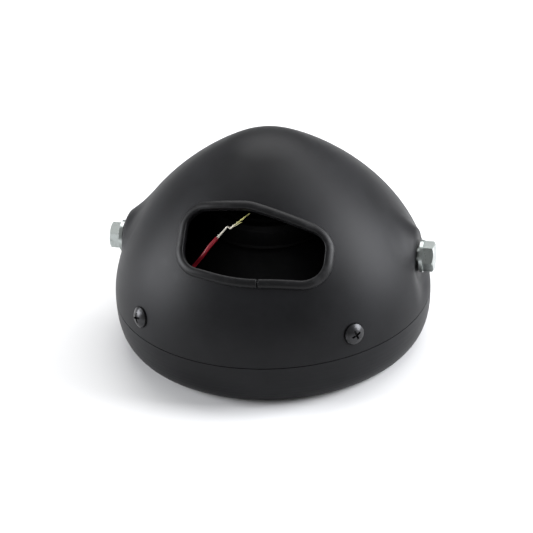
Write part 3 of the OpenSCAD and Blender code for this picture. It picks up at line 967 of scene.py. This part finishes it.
@dataclass(frozen=True)
class PadForm:
    """Side pads: flat discs on rounded cones that grow out of the dome along X.

    The fillet is the soft run between dome and pad. It is narrow above the pad and wider beside
    it, and it fades towards the disc and far from the pad.
    """

    x: float = 75.0
    z: float = 43.0
    flat_r: float = 9.6
    shoulder: float = 8.4
    slope: float = 38.0
    base: float = 16.0
    fillet_least: float = 0.3
    fillet_top: float = 1.5
    fillet_side: float = 3.5
    side_from: float = 7.0
    side_run: float = 12.0
    disc_run: float = 6.0
    fillet_from: float = 22.0
    fillet_to: float = 42.0
    dish_run: float = 1.9
    dish_soft: float = 6.0

    def fillet(self, points: np.ndarray) -> np.ndarray:
        """Width of the soft run between dome and pad.

        Args:
            points: Places on the dome.

        Returns:
            The width at each place.
        """
        away = np.hypot(points[..., 1], points[..., 2] - self.z)
        beside = soft_step((np.abs(points[..., 1]) - self.side_from) / self.side_run)
        width = self.fillet_top + (self.fillet_side - self.fillet_top) * beside
        below_disc = soft_step((self.x - np.abs(points[..., 0])) / self.disc_run)
        far = soft_step((away - self.fillet_from) / (self.fillet_to - self.fillet_from))
        return self.fillet_least + width * below_disc * (1 - far)

    def boss(self, along: np.ndarray, around: np.ndarray) -> np.ndarray:
        """Distance from a cone with a rounded shoulder, negative inside.

        It is the distance from a smaller sharp cone, less the shoulder's radius.

        Args:
            along: Distance out along the bolt's axis.
            around: Distance from that axis.

        Returns:
            The distance.
        """
        lean = math.radians(self.slope)
        out, up = around - self.flat_r, along - (self.x - self.shoulder)
        side = out * math.cos(lean) + up * math.sin(lean)
        down = out * math.sin(lean) - up * math.cos(lean)
        sharp = np.select([(up < 0) & (side < 0), (up > 0) & (out < 0), down > 0],
                          [np.maximum(up, side), up, side], np.hypot(out, up))
        return np.maximum(sharp - self.shoulder, self.x - self.base - along)

    def dish(self, along: np.ndarray, around: np.ndarray) -> np.ndarray:
        """Distance from the shallow cone that frees the disc below the bolt, negative inside.

        Args:
            along: Distance out along the bolt's axis.
            around: Distance from that axis.

        Returns:
            The distance.
        """
        cone = around - self.flat_r - self.dish_run * (along - self.x)
        return np.maximum(cone / math.hypot(1, self.dish_run), self.x - along)


# Pieces


class Slot(Enum):
    """The record's material slots."""

    SHELL = "shell_plastic"
    RING = "ring_plastic"
    EDGE = "edge_rubber"
    ZINC = "zinc_plate"
    SCREW = "black_screw"
    LENS = "lens_glass"
    SEAL = "seal_rubber"
    REFLECTOR = "reflector_metal"
    SPRING = "spring_steel"
    BULB_METAL = "bulb_metal"
    BULB_GLASS = "bulb_glass"
    PLUG = "plug_plastic"
    INSULATION = "wire_insulation"
    STRANDS = "bare_strands"


def wear_node(name: str, material: bpy.types.Material) -> None:
    """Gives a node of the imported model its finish.

    Args:
        name: Name of the node.
        material: The finish.
    """
    node = frame["nodes"][name]
    if not node.material_slots:
        node.data.materials.append(material)
    for place in node.material_slots:
        place.material = material
    LOG.info("dressed %s in %s", name, material.name)


@dataclass
class Viewpoint:
    """Camera that looks down on the back of the lamp. Its place and clips are in metres."""

    place: Vector = (0.19639, -0.80842, 0.50193)
    forward: Vector = (-0.208566, 0.846075, -0.490568)
    roll: float = -2.815
    lens: float = 128.90
    sensor: float = 36.0
    clip_near: float = 0.05
    clip_far: float = 50.0

    def build(self) -> None:
        """Places the camera and makes it the scene's own."""
        ahead = units(np.array(self.forward))
        level = units(np.cross(ahead, [0, 0, 1]))
        upright = np.cross(level, ahead)
        turn = math.radians(self.roll)
        right = level * math.cos(turn) + upright * math.sin(turn)
        up = upright * math.cos(turn) - level * math.sin(turn)
        data = bpy.data.cameras.new("camera")
        data.lens = self.lens
        data.sensor_width = self.sensor
        data.clip_start, data.clip_end = self.clip_near, self.clip_far
        camera = in_scene("camera", data)
        set_pose(camera, right, up, -ahead, self.place)
        bpy.context.scene.camera = camera


@dataclass
class RedWire:
    """The free wire: out of the plug, round inside the shell and up to the opening's top edge.

    Its bare end is a bundle of strands that winds round a middle strand, with one more beside it.
    The shares are shares of the bundle's length.
    """

    route: tuple[Vector, ...] = (
        (13, 0, 86), (16, 0, 86), (19, 0, 86), (26, -3, 84), (33, -8, 78), (39, -13, 70),
        (45, -18, 60), (50, -23, 49), (52, -29, 37), (50, -36, 27), (43, -44, 21), (30, -54, 20),
        (15, -60, 19.5), (0, -62, 19), (-15, -60, 19.5), (-28, -55, 20.5), (-38, -49, 25),
        (-42, -48, 33), (-42, -53, 42), (-37, -56, 50), (-30, -54, 56), (-25, -51, 61),
        (-21, -50, 66), (-18, -48, 70), (-15, -45, 73))
    bare_route: tuple[Vector, ...] = (
        (-15, -45, 73), (-13.4, -44, 74.7), (-11.9, -43, 76.3), (-10.4, -42.4, 77.8),
        (-9, -42.6, 77.2), (-7.4, -42.2, 78.6), (-5, -41.4, 80.4), (-2.6, -40.4, 82.2),
        (0, -39, 84))
    side_route: tuple[Vector, ...] = (
        (-10, -42.4, 77.2), (-8.5, -41.4, 77.2), (-6.8, -41, 77.9), (-5, -40.6, 79.2),
        (-3.6, -40.8, 80))
    lean: Vector = (0.35, 0.8, 0.49)
    diameter: float = 1.8
    sides: int = 16
    cut_end: tuple[float, float] = (1.03, 0.97)
    strand: float = 0.3
    strand_sides: int = 7
    strands: int = 5
    turns: float = 4.0
    apart: float = 0.24
    flare: float = 0.2
    flare_share: float = 0.12
    part_share: float = 0.35
    part_least: float = 0.1
    part_most: float = 0.7
    close_in: float = 0.2
    close_share: float = 0.5
    shortest: float = 0.45
    longest: float = 1.0
    seed: int = 7

    def bare(self, path: np.ndarray) -> Surface:
        """One strand along a path in metres."""
        radius = np.full(len(path), self.strand / 2 * MM)
        return round_tube(path, radius, self.strand_sides, self.lean)

    def wound(self, middle: np.ndarray, phase: float, spread: float, until: float) -> Surface:
        """One strand that winds round the bundle's middle line and parts from it towards the end.

        Its place is middle + distance * (cos a * u + sin a * v), where a grows along the line.

        Args:
            middle: Middle line of the bundle, in metres.
            phase: Angle at the start, in radians.
            spread: How far it parts at the end.
            until: Share of the line that it follows.

        Returns:
            Its points and faces.
        """
        line = middle[:int(len(middle) * until)]
        share = np.linspace(0, until, len(line))
        across, upward = square_to(line, self.lean)
        angle = phase + 2 * math.pi * self.turns * share
        distance = (self.apart + self.flare * np.exp(-(share / self.flare_share) ** 2)
                    + spread * np.clip(share - self.part_share, 0, 1) ** 2
                    - self.close_in * np.clip(share - self.close_share, 0, 1)) * MM
        aside = np.cos(angle)[:, None] * across + np.sin(angle)[:, None] * upward
        return self.bare(line + distance[:, None] * aside)

    def build(self, skin: bpy.types.Material, copper: bpy.types.Material) -> None:
        """Args:
            skin: Finish of the insulation.
            copper: Finish of the strands.
        """
        path = smooth_path(self.route, 6)
        radius = np.full(len(path), self.diameter / 2 * MM)
        radius[-2:] *= self.cut_end
        wire = new_mesh("red_wire_skin", *round_tube(path, radius, self.sides, self.lean), skin)
        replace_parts(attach(wire, "root"), "red_wire")
        middle = smooth_path(self.bare_route, 8)
        rng = np.random.default_rng(self.seed)
        parts = [self.wound(middle, 2 * math.pi * number / self.strands,
                            rng.uniform(self.part_least, self.part_most),
                            rng.uniform(self.shortest, self.longest))
                 for number in range(self.strands)]
        parts += [self.bare(middle), self.bare(smooth_path(self.side_route, 5))]
        strands = new_mesh("red_wire_bare_end", *merged(parts), copper)
        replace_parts(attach(strands, "root"), "red_wire_strands")


@dataclass
class ShellSkin:
    """Moulded shell, whose pads run into the dome in soft hollows, with its holes cut out."""

    dome: DomeForm
    opening: OpeningForm
    pad: PadForm
    seam_z: float = 23.2
    seam_fade: float = 7.0
    rows: int = 112
    columns: int = 330
    lift_most: float = 14.0
    lift_rounds: int = 60
    lift_share: float = 0.7
    bolt_z: float = 45.5
    bolt_hole: float = 4.2
    bolt_cut: tuple[float, float] = (55.0, 85.0)
    screw_angle: float = 41.9
    screw_place: tuple[float, float] = (77.894, 33.8)
    screw_tilt: float = 10.54
    screw_hole: float = 2.7
    screw_cut: tuple[float, float] = (-10.0, 8.0)
    spot_r: float = 5.4
    spot_depth: float = 0.6
    opening_points: int = 220
    opening_cut: tuple[float, float] = (52.0, 112.0)
    crisp_angle: float = 32.0

    def lift(self, points: np.ndarray, out: np.ndarray) -> np.ndarray:
        """How far the skin stands off the plain dome, along the dome's own directions.

        The skin is where the smoothed distance from dome and pad, less the dish, comes to nothing.
        Each point steps towards it from outside by a share of the distance that is left.

        Args:
            points: Places on the dome.
            out: Outward directions there.

        Returns:
            The lift at each point.
        """
        lift = np.full(points.shape[:-1], self.lift_most)
        fillet = self.pad.fillet(points)
        for _ in range(self.lift_rounds):
            at = points + lift[..., None] * out
            along, around = np.abs(at[..., 0]), np.hypot(at[..., 1], at[..., 2] - self.pad.z)
            whole = smooth_least(lift, self.pad.boss(along, around), fillet)
            left = -smooth_least(-whole, self.pad.dish(along, around), self.pad.dish_soft)
            lift = lift - self.lift_share * left
        return lift * soft_step((points[..., 2] - self.seam_z) / self.seam_fade)

    def solid(self) -> Surface:
        """Closed wall: the skin, the same form a wall's thickness further in, and the seam's edge.

        Returns:
            Points in metres, and faces.
        """
        rows = np.concatenate(self.dome.profile(), axis=1)
        start = int(np.argmax(rows[:, 1] >= self.seam_z))
        before, after = rows[start - 1], rows[start]
        share = (self.seam_z - before[1]) / (after[1] - before[1])
        tip = rows[-1, 1]
        rows = np.concatenate([[before + share * (after - before)], rows[start:]])
        walked = walked_along(rows[:, :2])
        rows = sampled(np.linspace(0, walked[-1], self.rows + 1)[:-1], walked, rows)
        circle = unit_circle(self.columns)
        places, away = turned(rows[:, :2], circle), units(turned(rows[:, 2:], circle))
        lift = self.lift(places, away)[..., None]
        skin = places + lift * away
        inner = places + np.minimum(-self.dome.wall, lift - self.dome.wall) * away
        points = np.concatenate([skin.reshape(-1, 3), inner.reshape(-1, 3),
                                 [[0, 0, tip], [0, 0, tip - self.dome.wall]]])
        count = self.rows * self.columns
        now, top = np.arange(self.columns), count - self.columns
        then, pole = (now + 1) % self.columns, np.full(self.columns, 2 * count)
        faces = grid_faces(self.rows, self.columns).tolist()
        faces += grid_faces(self.rows, self.columns, first=count)[:, ::-1].tolist()
        for corners in ((top + now, top + then, pole),
                        (count + top + then, count + top + now, pole + 1),
                        (count + now, count + then, then, now)):
            faces += np.stack(corners, axis=1).tolist()
        return points * MM, faces

    def cutters(self) -> Surface:
        """Prism of the wiring opening, stepped plugs for the screws and plain ones for the bolts.

        Returns:
            Points in metres, and faces.
        """
        flat, _ = self.opening.outline(self.opening_points)
        prism = self.opening.in_space(flat[None], np.array(self.opening_cut)[:, None])
        parts = [closed_rings(prism * MM)]
        lean, (screw_r, screw_z) = math.radians(self.screw_tilt), self.screw_place
        for side in (-1, 1):
            angle = math.radians(-90 + side * self.screw_angle)
            x, y = math.cos(angle), math.sin(angle)
            axis = (x * math.cos(lean), y * math.cos(lean), math.sin(lean))
            parts.append(plug((x * screw_r, y * screw_r, screw_z), axis, [
                (self.screw_cut[0], self.screw_hole), (-self.spot_depth, self.screw_hole),
                (-self.spot_depth, self.spot_r), (self.screw_cut[1], self.spot_r)]))
            parts.append(plug((0, 0, self.bolt_z), (side, 0, 0),
                              [(reach, self.bolt_hole) for reach in self.bolt_cut]))
        return merged(parts)

    def build(self, plastic: bpy.types.Material) -> None:
        """Makes the wall, cuts the holes and shades it with crisp hole edges.

        Args:
            plastic: Its finish.
        """
        skin = new_mesh("shell_skin", *self.solid(), plastic)
        tool = new_mesh("hole_cutters", *self.cutters(), plastic)
        cut = skin.modifiers.new("holes", "BOOLEAN")
        cut.operation, cut.solver, cut.object = "DIFFERENCE", "EXACT", tool
        finished = skin.evaluated_get(bpy.context.evaluated_depsgraph_get())
        whole = bpy.data.meshes.new_from_object(finished)
        skin.modifiers.clear()
        skin.data = whole
        bpy.data.objects.remove(tool)
        whole.polygons.foreach_set("use_smooth", np.full(len(whole.polygons), True))
        whole.set_sharp_from_angle(angle=math.radians(self.crisp_angle))
        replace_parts(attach(skin, "root"), "shell")
        LOG.info("shell skin has %d faces", len(whole.polygons))


@dataclass
class OpeningEdge:
    """Rubber channel pushed over the cut edge of the wiring opening."""

    dome: DomeForm
    opening: OpeningForm
    lip_w: float = 2.9
    lip_t: float = 1.6
    lip_power: float = 0.75
    lip_points: int = 15
    web: float = 1.3
    grip: float = 1.4
    split: float = 0.4
    split_x: float = 5.0
    end_steps: tuple[float, ...] = (0.0, 0.12, 0.35)
    end_shrink: tuple[float, ...] = (0.86, 0.96, 1.0)
    rings: int = 300

    def section(self) -> np.ndarray:
        """Outline of the channel: distance out from the cut edge, and height off the outside.

        Each lip follows one angle, with its cosine across and a power of its sine for the lift,
        and the web joins the two.

        Returns:
            One row per point, all the way round.
        """
        wall = self.dome.wall
        angle = np.linspace(0, math.pi, self.lip_points)
        across = (self.lip_w - self.web) / 2 + (self.lip_w + self.web) / 2 * np.cos(angle)
        lift = np.sin(angle) ** self.lip_power * self.lip_t
        upper = np.stack([across, lift], axis=1)
        lower = np.stack([across, -wall - lift], axis=1)[::-1]
        web = np.stack([np.full(3, -self.web), np.linspace(0, -wall, 5)[1:-1]], axis=1)
        inside = [[self.grip, -wall], [0, -wall], [0, -wall / 2], [0, 0], [self.grip, 0]]
        return np.concatenate([upper, web, lower, inside])

    def build(self, rubber: bpy.types.Material) -> None:
        """Carries the section round the outline, from one end at the joint to the other.

        Args:
            rubber: Its finish.
        """
        flat, out = self.opening.outline(4 * self.rings)
        joint = np.argmin(np.where(flat[:, 1] > 0, np.inf, np.abs(flat[:, 0] - self.split_x)))
        rows = np.roll(np.concatenate([flat, out], axis=1), -joint, axis=0)
        walked = walked_along(rows[:, :2])
        wanted = np.linspace(self.split / 2, walked[-1] - self.split / 2, self.rings)
        ends = np.array(self.end_steps)
        wanted = np.concatenate([wanted[0] + ends, wanted[1:-1], wanted[-1] - ends[::-1]])
        shrink = np.ones((len(wanted), 1, 1))
        shrink[:len(ends), 0, 0] = self.end_shrink
        shrink[-len(ends):, 0, 0] = self.end_shrink[::-1]
        rows = sampled(wanted, walked, rows)
        centre = np.array([(self.lip_w - self.web) / 2, -self.dome.wall / 2])
        shaped = centre + (self.section() - centre)[None] * shrink
        places = rows[:, None, :2] + shaped[..., :1] * units(rows[:, 2:])[:, None]
        points = self.opening.on_dome(self.dome, places, shaped[..., 1])
        edge = new_mesh("opening_edge_rubber", *closed_rings(points), rubber)
        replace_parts(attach(edge, "root"), "opening_trim")


@dataclass(frozen=True)
class SoftBox:
    """One large soft light. Its place and size are in metres, and its power in watts."""

    name: str
    place: Vector
    aim: Vector
    width: float
    height: float
    power: float
    tint: Colour = (1.0, 1.0, 1.0)

    def build(self) -> None:
        """Hangs the light and turns it to its aim."""
        data = bpy.data.lights.new(self.name, "AREA")
        data.shape = "RECTANGLE"
        data.size, data.size_y = self.width, self.height
        data.energy = self.power
        data.color = self.tint
        back = units(np.array(self.place, float) - np.array(self.aim, float))
        side = units(np.cross([0, 0, 1], back))
        set_pose(in_scene(self.name, data), side, np.cross(back, side), back, self.place)


@dataclass
class Studio:
    """White sweep, even sky and soft boxes, with sizes in metres."""

    half: float = 3.0
    lines: int = 9
    sky: Colour = (1.0, 1.0, 1.0)
    sky_strength: float = 0.29
    boxes: tuple[SoftBox, ...] = (
        SoftBox("box_right", (1.3, 0.32, 0.68), (0, 0, 0.05), 0.9, 1.0, 45, (0.95, 0.965, 1.0)),
        SoftBox("box_left", (-1.25, -0.25, 0.44), (0, 0, 0.05), 0.8, 0.7, 23, (0.95, 0.965, 1.0)),
        SoftBox("box_top", (0.0, 0.95, 1.7), (0, 0, 0.05), 2.2, 1.6, 44),
    )

    def build(self) -> None:
        """Lays the floor, sets the sky and hangs the lights."""
        side = np.linspace(-self.half, self.half, self.lines)
        x, y = np.meshgrid(side, side, indexing="ij")
        points = np.stack([x, y, np.zeros_like(x)], axis=-1).reshape(-1, 3)
        faces = grid_faces(self.lines, self.lines, closed=False)[:, ::-1]
        floor = new_mesh("studio_floor", points, faces, PaleFloor().material())
        world = bpy.data.worlds.new("studio_sky")
        world.use_nodes = True
        back = world.node_tree.nodes["Background"]
        back.inputs["Color"].default_value = (*self.sky, 1.0)
        back.inputs["Strength"].default_value = self.sky_strength
        bpy.context.scene.world = world
        for box in self.boxes:
            box.build()
        bpy.context.scene.view_settings.view_transform = "Standard"


@dataclass
class Headlight:
    """All the finishes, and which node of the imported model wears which."""

    dome: DomeForm
    opening: OpeningForm
    pad: PadForm

    def finishes(self) -> dict[Slot, Finish]:
        """The finish of each slot.

        Returns:
            A finish for each slot.
        """
        return {
            Slot.SHELL: GrainedPlastic("shell_grain"),
            Slot.RING: GrainedPlastic("ring_grain", roughness=0.44, grain_depth=0.03),
            Slot.EDGE: Rubber("edge_rubber_skin"),
            Slot.ZINC: Metal("zinc_plating", (0.40, 0.43, 0.42), (0.25, 0.28, 0.26), 0.3),
            Slot.SCREW: Metal("black_oxide", (0.034, 0.034, 0.036), (0.014, 0.014, 0.014), 0.32,
                              metallic=0.8),
            Slot.LENS: ClearGlass("lens_clear"),
            Slot.SEAL: Rubber("seal_rubber_skin", roughness=0.55),
            Slot.REFLECTOR: ReflectorCoat("reflector_coat", tip=63.0, focal=20.0, wall=1.8,
                                          flange_top=9.0),
            Slot.SPRING: Metal("spring_steel_drawn", (0.52, 0.52, 0.5), (0.3, 0.29, 0.27), 0.32,
                               lines=(0.2, 1.0, 0.2)),
            Slot.BULB_METAL: Metal("bulb_nickel", (0.62, 0.6, 0.56), (0.4, 0.38, 0.34), 0.26),
            Slot.BULB_GLASS: ClearGlass("bulb_clear", wave_depth=0.02),
            Slot.PLUG: GrainedPlastic("plug_grain", roughness=0.5, dust_share=0.0),
            Slot.INSULATION: WireSkin("wire_skin"),
            Slot.STRANDS: BareCopper("strand_copper", pale_until=-9.0, yellow_from=-4.0),
        }

    def build(self) -> None:
        """Makes the finishes, dresses every node and adds the pieces modelled here."""
        made = {slot: finish.material() for slot, finish in self.finishes().items()}
        RedWire().build(made[Slot.INSULATION], made[Slot.STRANDS])
        ShellSkin(self.dome, self.opening, self.pad).build(made[Slot.SHELL])
        OpeningEdge(self.dome, self.opening).build(made[Slot.EDGE])
        for row in frame["record"]["subparts"]:
            wear_node(row["node"], made[Slot(row["material_slot"])])


def main() -> None:
    """Builds the camera, the lamp and the studio."""
    logging.basicConfig(level=logging.INFO, format="%(name)s: %(message)s")
    Viewpoint().build()
    Headlight(DomeForm(), OpeningForm(), PadForm()).build()
    Studio().build()


if __name__ == "__main__":
    main()
